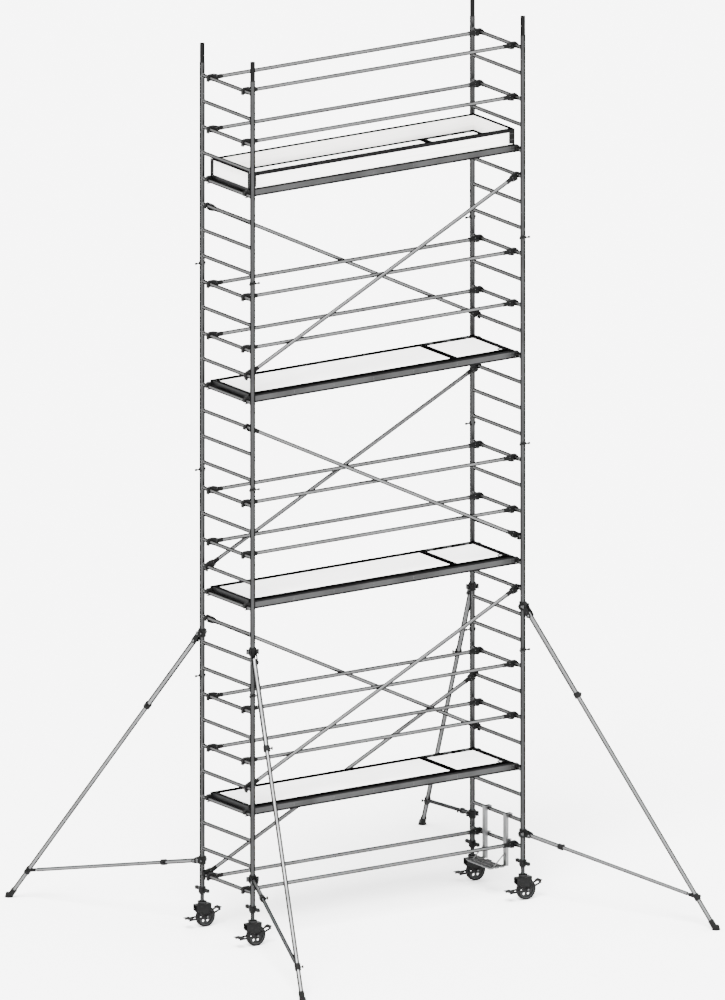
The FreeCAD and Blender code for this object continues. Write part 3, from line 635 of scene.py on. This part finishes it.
def make_claw_details():
    """Two rivets and a release button on each side of every claw."""
    rivet_reach = 0.066
    rivet_rise = 0.013
    button_reach = 0.040
    button_profile = [(-SINK, 0.0085), (0.0018, 0.0085), (0.0028, 0.0070)]
    rivets = bmesh.new()
    buttons = bmesh.new()
    for left_rung, right_rung, y in TUBES:
        left = Vector((-POST_X, y, rung_height(left_rung)))
        right = Vector((POST_X, y, rung_height(right_rung)))
        for start, end in ((left, right), (right, left)):
            along = (end - start).normalized()
            up = Vector((-along.z, 0, along.x))
            for side in (-1, 1):
                outward = Y_AXIS * side
                face = start + outward * CLAW_HALF_WIDTH
                for rise in (-rivet_rise, rivet_rise):
                    centre = face + along * rivet_reach + up * rise
                    add_dome(rivets, centre, outward, *RIVET, 10)
                add_turned(buttons, button_profile, face + along * button_reach, outward, 16)
    new_piece("claw_rivets", rivets, ZINC, "tower")
    new_piece("claw_buttons", buttons, CLIP_STEEL, "tower")


def make_frames():
    for side in ("left", "right"):
        for storey in STOREYS:
            dress(f"end_frame_{side}_{storey}", FRAME_ALLOY)
    dress("level_rails", RAIL_ALLOY)
    split_node(
        "diagonal_braces",
        [
            ("rising_braces", is_rising, RISING_ALLOY, "alloy_tube", 0.0),
            ("falling_braces", everywhere, FALLING_ALLOY, "alloy_tube", 0.0),
        ],
    )
    dress("frame_clips", CLIP_STEEL)
    split_node("brace_claws", [("claw_bodies", everywhere, NYLON, "claw", 0.0015)])
    make_claw_details()
    make_welds()
    make_spigot_rivets()


# ---- Decks ----------------------------------------------------------------------------------


def is_hook(point):
    slack = 0.0003
    return abs(point.x) > BEAM_HALF_LENGTH - slack


def is_hinge(point):
    """Whether a point is on a hatch's hinge pins, barrels or fixed leaves."""
    pin_half_length = 0.041
    above = min(abs(point.z - height - DECK_TOP - HINGE_RISE) for height in DECK_HEIGHTS)
    beside = min(abs(point.x - x) for x in HINGE_X)
    return beside < pin_half_length + SINK and point.y > 0.27 and above < HINGE_RISE - 0.0001


def split_decks():
    split_node(
        "deck_frames",
        [
            ("deck_hooks", is_hook, CAST_BLACK, "clip", 0.0015),
            ("hinge_leaves", is_hinge, ZINC, "spindle", 0.0),
            ("deck_beams", everywhere, BEAM_ALLOY, "deck_beam", 0.0),
        ],
    )


def make_deck_trim():
    """Lips and capping along the side beams, and the rivets of the cross members and hooks."""
    lip_depth = 0.016
    lip_thickness = 0.0014
    cap_thickness = 0.001
    lip_heights = (
        (BEAM_LOW, BEAM_LOW + lip_depth),
        (DECK_TOP - lip_depth, DECK_TOP + cap_thickness),
    )
    rivet_places = [(x, z) for x in CROSS_MEMBER_X for z in (0.008, 0.024)]
    for end in (-1, 1):
        for back in (0.018, 0.045):
            rivet_places += [(end * (BEAM_HALF_LENGTH - back), z) for z in (0.004, 0.028)]
    lips = bmesh.new()
    rivets = bmesh.new()
    for height in DECK_HEIGHTS:
        top = height + DECK_TOP
        for side in (-1, 1):
            face = side * DECK_HALF_WIDTH
            y0, y1 = sorted((face - side * SINK, face + side * lip_thickness))
            for low, high in lip_heights:
                corner = (-BEAM_HALF_LENGTH, y0, height + low)
                add_block(lips, corner, (BEAM_HALF_LENGTH, y1, height + high), 0.0006)
            y0, y1 = sorted((face, face - side * (BEAM_WIDTH - 0.0005)))
            corner = (-BEAM_HALF_LENGTH, y0, top - SINK)
            add_block(lips, corner, (BEAM_HALF_LENGTH, y1, top + cap_thickness), TRIM_CHAMFER)
            for x, z in rivet_places:
                add_dome(rivets, Vector((x, face, height + z)), Y_AXIS * side, *SMALL_RIVET)
    new_piece("deck_beam_lips", lips, EDGE_ALLOY, "tower")
    new_piece("deck_rivets", rivets, ZINC, "tower")


def make_board_edging():
    """The thin angle that edges each fixed board, with its screws."""
    edging = bmesh.new()
    screws = bmesh.new()
    thickness = 0.0012
    width = 0.040
    end_width = 0.012
    first_screw = 0.06
    screw_pitch = 0.18
    inner = DECK_HALF_WIDTH - BEAM_WIDTH
    x0 = -END_BEAM_INNER_X
    for height in DECK_HEIGHTS:
        z0 = height + DECK_TOP - SINK
        z1 = height + DECK_TOP + thickness
        for side in (-1, 1):
            y0, y1 = sorted((side * (inner - width), side * inner))
            add_block(edging, (x0, y0, z0), (BOARD_END_X, y1, z1), TRIM_CHAMFER)
            for number in range(13):
                x = x0 + first_screw + number * screw_pitch
                y = side * (inner - width / 2)
                add_dome(screws, Vector((x, y, z1)), Z_AXIS, *SCREW)
        for low, high in ((x0, x0 + end_width), (BOARD_END_X - width, BOARD_END_X)):
            corner = (low, width - inner, z0)
            add_block(edging, corner, (high, inner - width, z1), TRIM_CHAMFER)
    new_piece("board_edging", edging, EDGE_ALLOY, "tower")
    new_piece("board_screws", screws, ZINC, "tower")


def make_hatch(number):
    """Splits a trapdoor into its finishes and adds its rim angle and screws."""
    node = f"hatch_{number}"
    height = DECK_HEIGHTS[number - 1]
    top = height + DECK_TOP
    x0 = BOARD_END_X + HATCH_GAP
    x1 = END_BEAM_INNER_X - HATCH_GAP
    y0 = HATCH_GAP - DECK_HALF_WIDTH + BEAM_WIDTH
    y1 = HATCH_BACK_Y

    def is_fitting(point):
        return point.z > top + 0.00005

    def is_stiffener(point):
        return point.z < top - BOARD_THICKNESS - 0.0001

    split_node(
        node,
        [
            (f"hatch_fittings_{number}", is_fitting, ZINC, "spindle", 0.0),
            (f"hatch_stiffeners_{number}", is_stiffener, STIFFENER_ALLOY, "deck_beam", 0.001),
            (f"hatch_board_{number}", everywhere, BOARD, "deck_board", 0.0),
        ],
    )
    rim = bmesh.new()
    screws = bmesh.new()
    width = 0.036
    z0 = top - SINK
    z1 = top + 0.0014
    leaf_half = 0.022
    barrel_gap = 0.003
    sides = [
        ((x0, y0, z0), (x1, y0 + width, z1)),
        ((x0, y0 + width, z0), (x0 + width, y1, z1)),
        ((x1 - width, y0 + width, z0), (x1, y1, z1)),
    ]
    gaps = [x0 + width]
    for x in HINGE_X:
        gaps += [x - leaf_half, x + leaf_half]
    gaps.append(x1 - width)
    for start, end in zip(gaps[::2], gaps[1::2]):
        sides.append(((start, y1 - width, z0), (end, y1 - barrel_gap, z1)))
    leg_low = top - BOARD_THICKNESS
    leg = 0.001
    leg_back = y1 - 0.002
    sides += [
        ((x0 - leg, y0 - leg, leg_low), (x1 + leg, y0 + SINK, z1)),
        ((x0 - leg, y0, leg_low), (x0 + SINK, leg_back, z1)),
        ((x1 - SINK, y0, leg_low), (x1 + leg, leg_back, z1)),
    ]
    for low, high in sides:
        add_block(rim, low, high, TRIM_CHAMFER)
    screws_a_side = 5
    for step in range(screws_a_side):
        across = step / (screws_a_side - 1)
        x = x0 + 0.06 + (x1 - x0 - 0.16) * across
        add_dome(screws, Vector((x, y0 + width / 2, z1)), Z_AXIS, *SCREW)
        for x in (x0 + width / 2, x1 - width / 2):
            y = y0 + 0.05 + (y1 - y0 - 0.09) * across
            add_dome(screws, Vector((x, y, z1)), Z_AXIS, *SCREW)
    new_piece(f"hatch_rim_{number}", rim, EDGE_ALLOY, node)
    new_piece(f"hatch_screws_{number}", screws, ZINC, node)


def make_toe_boards():
    """Splits the toe boards from their brackets and adds capping and rivets."""
    half_x = BEAM_HALF_LENGTH - 0.003
    half_y = DECK_HALF_WIDTH - 0.002
    slack = 0.0001
    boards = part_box("toe_boards")

    def is_bracket(point):
        return abs(point.x) > half_x + slack or abs(point.y) > half_y + slack

    split_node(
        "toe_boards",
        [
            ("toe_brackets", is_bracket, CAST_BLACK, "clip", 0.0),
            ("toe_board_faces", everywhere, TOE_TIMBER, "toe_board", 0.0015),
        ],
    )
    capping = bmesh.new()
    rivets = bmesh.new()
    top = boards[1].z
    lap = 0.0012
    depth = 0.010
    outer_depth = 0.032
    chamfer = 0.0005
    bracket_thickness = 0.003
    inner_y = half_y - TOE_BOARD_THICKNESS
    inner_x = half_x - TOE_BOARD_THICKNESS
    cap_x = half_x - 0.004
    for side in (-1, 1):
        y0, y1 = sorted((side * (inner_y - lap), side * (half_y + lap)))
        add_block(capping, (-cap_x, y0, top - depth), (cap_x, y1, top + lap), chamfer)
        y0, y1 = sorted((side * (half_y - lap), side * (half_y + lap)))
        corner = (-cap_x, y0, top - outer_depth)
        add_block(capping, corner, (cap_x, y1, top - depth + lap), chamfer)
        x0, x1 = sorted((side * (inner_x - lap), side * (half_x + lap)))
        corner = (x0, lap - inner_y, top - depth)
        add_block(capping, corner, (x1, inner_y - lap, top + lap), chamfer)
        for end in (-1, 1):
            for back in (0.040, 0.018):
                for rise in (0.045, 0.105):
                    y = side * (half_y + bracket_thickness)
                    centre = Vector((end * (half_x - back), y, boards[0].z + rise))
                    add_dome(rivets, centre, Y_AXIS * side, *RIVET)
    new_piece("toe_board_capping", capping, EDGE_ALLOY, "tower")
    new_piece("toe_board_rivets", rivets, ZINC, "tower")


def make_decks():
    split_decks()
    dress("deck_boards", BOARD)
    make_deck_trim()
    make_board_edging()
    for number in STOREYS:
        make_hatch(number)
    make_toe_boards()
    dress("access_step", STEP_ALLOY)


# ---- Castors --------------------------------------------------------------------------------


def make_thread(corner):
    """The rolled thread of the spindle, long enough for the nut's full travel."""
    mesh = bmesh.new()
    centre = post_axis(corner)
    start = RACE_TOP + 0.006
    end = 0.600
    ridge_r = 0.0016
    ridge_depth = 0.0007
    per_turn = 28
    turns = (end - start) / THREAD_PITCH
    points = []
    for step in range(int(turns * per_turn)):
        angle = 2 * math.pi * step / per_turn
        height = start + THREAD_PITCH * step / per_turn
        spoke = Vector((math.cos(angle), math.sin(angle), 0)) * (SPINDLE_R - ridge_depth)
        points.append(centre + spoke + Z_AXIS * height)
    add_tube(mesh, points, ridge_r, 5)
    body = body_of(f"castor_leg_{corner}")
    new_piece(f"spindle_thread_{corner}", mesh, SPINDLE_ZINC, body)


def make_wheel_details(corner):
    """Sealed bearing faces on the hub and moulded rings on the tyre's walls."""
    hub = post_axis(corner) + Vector((CASTOR_TRAIL, 0, WHEEL_R))
    body = body_of(f"castor_wheel_{corner}")
    bearing_profile = [
        (HUB_HALF_WIDTH - SINK, 0.0090),
        (HUB_HALF_WIDTH + 0.0006, 0.0090),
        (HUB_HALF_WIDTH + 0.0010, 0.0120),
        (HUB_HALF_WIDTH + 0.0010, 0.0190),
        (HUB_HALF_WIDTH + 0.0004, 0.0200),
        (HUB_HALF_WIDTH - SINK, 0.0200),
    ]
    wall_y = 0.0224
    bearing = bmesh.new()
    ribs = bmesh.new()
    for side in (-1, 1):
        outward = Y_AXIS * side
        add_turned(bearing, bearing_profile, hub, outward, 32, closed=True)
        for radius in (0.0865, 0.0905):
            points = []
            for turn in circle(72):
                spoke = Vector((math.cos(turn), 0, math.sin(turn))) * radius
                points.append(hub + outward * wall_y + spoke)
            add_tube(ribs, points, 0.0006, 6, closed=True)
    new_piece(f"wheel_bearings_{corner}", bearing, ZINC, body)
    new_piece(f"tyre_wall_rings_{corner}", ribs, TYRE, body)


def add_tread_ribs(mesh, centre, along, normal, length, half_width):
    """Grip ribs across a foot plate."""
    rib_pitch = 0.008
    rib_r = 0.0012
    rib_rise = 0.0002
    count = int(length / rib_pitch)
    across = normal.cross(along)
    for number in range(count):
        middle = centre + along * length * ((number + 0.5) / count - 0.5) + normal * rib_rise
        points = [middle - across * half_width, middle + across * half_width]
        add_tube(mesh, points, rib_r, 6)


def make_pedal_grips(corner):
    """Grip ribs on the two foot plates of the brake rocker."""
    hub = Vector((CASTOR_TRAIL, 0, WHEEL_R))
    low_end = hub + Vector((-0.205, 0, -0.008))
    high_end = hub + Vector((0.150, 0, 0.058))
    overhang = 0.016
    plate_lift = 0.013
    plate_half_thickness = 0.003
    mesh = bmesh.new()
    for end, length, half_width in ((low_end, 0.062, 0.046), (high_end, 0.040, 0.042)):
        back = (hub - end).normalized()
        lift = Vector((-back.z, 0, back.x))
        if lift.z < 0:
            lift = -lift
        tip = end - back * overhang + lift * plate_lift
        middle = tip + back * length / 2 + lift * plate_half_thickness + post_axis(corner)
        add_tread_ribs(mesh, middle, back, lift, length - 0.008, half_width - 0.004)
    body = body_of(f"brake_pedal_{corner}")
    new_piece(f"pedal_grips_{corner}", mesh, FOOT_RUBBER, body)


def make_castor(corner):
    axle = post_axis(corner) + Vector((CASTOR_TRAIL, 0, WHEEL_R))
    bolt_reach = 0.0116
    plate_inner = 0.0272
    plate_outer = 0.0332

    def is_axle(point):
        aside = abs(point.y - axle.y)
        from_axle = math.hypot(point.x - axle.x, point.z - axle.z)
        return from_axle < bolt_reach and (aside < plate_inner or aside > plate_outer)

    split_node(
        f"castor_fork_{corner}",
        [
            (f"axle_bolt_{corner}", is_axle, ZINC, "spindle", 0.0),
            (f"fork_plates_{corner}", everywhere, POWDER, "fork", 0.0012),
        ],
    )
    dress(f"castor_leg_{corner}", SPINDLE_ZINC)
    dress(f"castor_wheel_{corner}", WHEEL_NYLON)
    dress(f"castor_tyre_{corner}", TYRE)
    for node, material, slot in (
        ("levelling_nut", CAST_BLACK, "nut"),
        ("brake_pedal", PEDAL_COAT, "pedal"),
    ):
        name = f"{node}_{corner}"
        split_node(name, [(f"{name}_surface", everywhere, material, slot, 0.0012)])
    make_thread(corner)
    make_wheel_details(corner)
    make_pedal_grips(corner)


# ---- Outriggers -----------------------------------------------------------------------------


class Outrigger:
    """One outrigger's plane: r outward from the post's axis, t across the plane, z up."""

    def __init__(self, corner):
        degrees = CORNERS[corner][2]
        self.origin = post_axis(corner)
        self.out = Vector((math.cos(math.radians(degrees)), math.sin(math.radians(degrees)), 0))
        self.across = Z_AXIS.cross(self.out)
        self.strut_dir = Vector((FOOT_REACH, 0, -STRUT_HEIGHT)).normalized()
        self.strut_pivot = self.on_line(Vector((0, 0, STRUT_HEIGHT)), self.strut_dir)
        to_coupler = COUPLER_FRACTION * math.hypot(FOOT_REACH, STRUT_HEIGHT)
        self.coupler = Vector((0, 0, STRUT_HEIGHT)) + self.strut_dir * to_coupler
        arm_post = Vector((0, 0, ARM_HEIGHT))
        self.arm_dir = (self.coupler - arm_post).normalized()
        self.arm_pivot = self.on_line(arm_post, self.arm_dir)
        self.foot = Vector((FOOT_REACH, 0, 0))
        self.strut_alloy = self.alloy_along(f"strut_alloy_{corner}", self.strut_dir)
        self.arm_alloy = self.alloy_along(f"arm_alloy_{corner}", self.arm_dir)

    def alloy_along(self, name, direction):
        # The outrigger tubes get painted shade along their outlines, set by each tube's
        # direction.
        return alloy(name, 0.10, 0.36, "ALL", 0.96, self.turned(direction)).material

    def on_line(self, start, direction):
        """The point of the line where it is the pivots' reach away from the post."""
        return start + direction * (PIVOT_REACH / direction.x)

    def local(self, point):
        """A point as (r, t, z)."""
        away = point - self.origin
        return Vector((away.dot(self.out), away.dot(self.across), away.z))

    def world(self, local):
        return self.origin + self.out * local.x + self.across * local.y + Z_AXIS * local.z

    def turned(self, direction):
        """A local direction in the frame's axes."""
        return self.out * direction.x + self.across * direction.y + Z_AXIS * direction.z

    def from_line(self, point, start, direction):
        """How far along a line a point is, and how far from it."""
        away = self.local(point) - start
        along = away.dot(direction)
        return along, (away - direction * along).length


def strut_regions(plane, corner):
    """Regions for the upper strut: clamp bolts and pins, tube, sleeve collar, post clamps."""
    collar_reach = 0.060

    def is_bolt(point):
        local = plane.local(point)
        for height in CLAMP_HEIGHTS:
            side = abs(local.y) - CLAMP_BOLT_Y
            rise = local.z - height
            in_shank = math.hypot(side, rise) < 0.0101 and abs(local.x) > 0.0129
            in_wing = abs(side) < 0.0031 and abs(rise) < 0.0171 and 0.0209 < local.x < 0.0405
            if in_shank or in_wing:
                return True
        return False

    def is_pin_head(point):
        local = plane.local(point)
        for pivot, tube_r in ((plane.strut_pivot, STRUT_R), (plane.arm_pivot, ARM_R)):
            away = math.hypot(local.x - pivot.x, local.z - pivot.z)
            if away < 0.0131 and abs(local.y) > tube_r + 0.0068:
                return True
        return False

    def is_tube(point):
        along, away = plane.from_line(point, plane.strut_pivot, plane.strut_dir)
        return away < STRUT_R + 0.0001 and -0.029 < along < STRUT_SLEEVE + 0.0005

    def is_collar(point):
        along, _ = plane.from_line(point, plane.strut_pivot, plane.strut_dir)
        return along > STRUT_SLEEVE - collar_reach

    return [
        (f"clamp_bolts_{corner}", lambda p: is_bolt(p) or is_pin_head(p), ZINC, "spindle", 0.0),
        (f"strut_tube_{corner}", is_tube, plane.strut_alloy, "outrigger_tube", 0.0),
        (f"strut_collar_{corner}", is_collar, CAST_BLACK, "nut", 0.001),
        (f"post_clamps_{corner}", everywhere, CAST_BLACK, "nut", 0.0012),
    ]


def leg_regions(plane, corner):
    """Regions for the sliding leg: tube, foot, coupler."""
    leg_end = (plane.foot - plane.strut_pivot).length - BOOT_TOP
    boot_reach = 0.060

    def is_tube(point):
        along, away = plane.from_line(point, plane.strut_pivot, plane.strut_dir)
        return away < LEG_R + 0.0001 and along < leg_end + 0.0002

    def is_foot(point):
        along, _ = plane.from_line(point, plane.strut_pivot, plane.strut_dir)
        return along > leg_end - boot_reach

    return [
        (f"leg_tube_{corner}", is_tube, plane.strut_alloy, "outrigger_tube", 0.0),
        (f"rubber_foot_{corner}", is_foot, FOOT_RUBBER, "tyre", 0.0015),
        (f"coupler_{corner}", everywhere, CAST_BLACK, "nut", 0.001),
    ]


def arm_regions(plane, corner):
    """Regions for the lower arm's sleeve: tube, collar."""

    def is_tube(point):
        along, away = plane.from_line(point, plane.arm_pivot, plane.arm_dir)
        return away < ARM_R + 0.0001 and along < ARM_SLEEVE + 0.0005

    return [
        (f"arm_sleeve_{corner}", is_tube, plane.arm_alloy, "outrigger_tube", 0.0),
        (f"arm_collar_{corner}", everywhere, CAST_BLACK, "nut", 0.001),
    ]


def make_foot_rings(plane, corner):
    """Moulded grip rings round the rubber foot's tapered pad."""
    pad_r = 0.040
    pad_top_r = 0.029
    pad_height = 0.046
    mesh = bmesh.new()
    foot = plane.world(plane.foot)
    for rise in (0.006, 0.014, 0.022):
        radius = pad_r - (pad_r - pad_top_r) * rise / pad_height
        points = []
        for turn in circle(48):
            spoke = Vector((math.cos(turn), math.sin(turn), 0)) * radius
            points.append(foot + spoke + Z_AXIS * rise)
        add_tube(mesh, points, 0.0014, 6, closed=True)
    body = body_of(f"outrigger_leg_{corner}")
    new_piece(f"foot_rings_{corner}", mesh, FOOT_RUBBER, body)


def make_outrigger(corner):
    plane = Outrigger(corner)
    split_node(f"outrigger_strut_{corner}", strut_regions(plane, corner))
    split_node(f"outrigger_leg_{corner}", leg_regions(plane, corner))
    split_node(f"outrigger_arm_{corner}", arm_regions(plane, corner))
    dress(f"outrigger_arm_tube_{corner}", plane.arm_alloy)
    make_foot_rings(plane, corner)


# ---- Stage, light and camera ----------------------------------------------------------------

FLOOR_HALF_WIDTH = 400
WORLD_STRENGTH = 4.0
KEY_STRENGTH = 14.0
FILL_STRENGTH = 2.0
CAMERA_AZIMUTH = -33.8
CAMERA_ELEVATION = 14.8
CAMERA_DISTANCE = 40
VIEW_MIDDLE = Vector((0, 0, 4.01))
VIEW_HEIGHT = 9.38


def make_stage():
    """A plain pale floor, wide enough to fill any view."""
    mesh = bmesh.new()
    bmesh.ops.create_grid(mesh, x_segments=1, y_segments=1, size=FLOOR_HALF_WIDTH)
    data = bpy.data.meshes.new("floor")
    mesh.to_mesh(data)
    mesh.free()
    floor = bpy.data.objects.new("floor", data)
    paper = Shader("floor_paper", grey(0.95), 0.95)
    paper.bump(paper.noise(3.0), 0.01, 0.001)
    data.materials.append(paper.material)
    bpy.context.scene.collection.objects.link(floor)


def make_sun(name, energy, location, target, soft_degrees):
    data = bpy.data.lights.new(name, "SUN")
    data.energy = energy
    data.angle = math.radians(soft_degrees)
    lamp = bpy.data.objects.new(name, data)
    lamp.location = location
    lamp.rotation_mode = "QUATERNION"
    lamp.rotation_quaternion = (target - location).to_track_quat("-Z", "Y")
    bpy.context.scene.collection.objects.link(lamp)


def make_world():
    world = bpy.data.worlds.new("studio")
    bpy.context.scene.world = world
    world.use_nodes = True
    background = world.node_tree.nodes["Background"]
    background.inputs["Color"].default_value = (1, 1, 1, 1)
    background.inputs["Strength"].default_value = WORLD_STRENGTH


def make_camera():
    azimuth = math.radians(CAMERA_AZIMUTH)
    elevation = math.radians(CAMERA_ELEVATION)
    back = Vector(
        (
            math.sin(azimuth) * math.cos(elevation),
            -math.cos(azimuth) * math.cos(elevation),
            math.sin(elevation),
        )
    )
    data = bpy.data.cameras.new("camera")
    data.type = "ORTHO"
    data.ortho_scale = VIEW_HEIGHT
    data.clip_end = 900
    camera = bpy.data.objects.new("camera", data)
    camera.location = VIEW_MIDDLE + back * CAMERA_DISTANCE
    camera.rotation_mode = "QUATERNION"
    camera.rotation_quaternion = (-back).to_track_quat("-Z", "Y")
    bpy.context.scene.collection.objects.link(camera)
    bpy.context.scene.camera = camera


def make_studio():
    middle = Vector((0, 0, 3.5))
    make_stage()
    make_world()
    make_sun("key", KEY_STRENGTH, Vector((-9, -9, 22)), middle, 30)
    make_sun("fill", FILL_STRENGTH, Vector((14, -8, 12)), middle, 60)
    make_camera()


make_frames()
make_decks()
for corner_name in CORNERS:
    make_castor(corner_name)
    make_outrigger(corner_name)
make_studio()
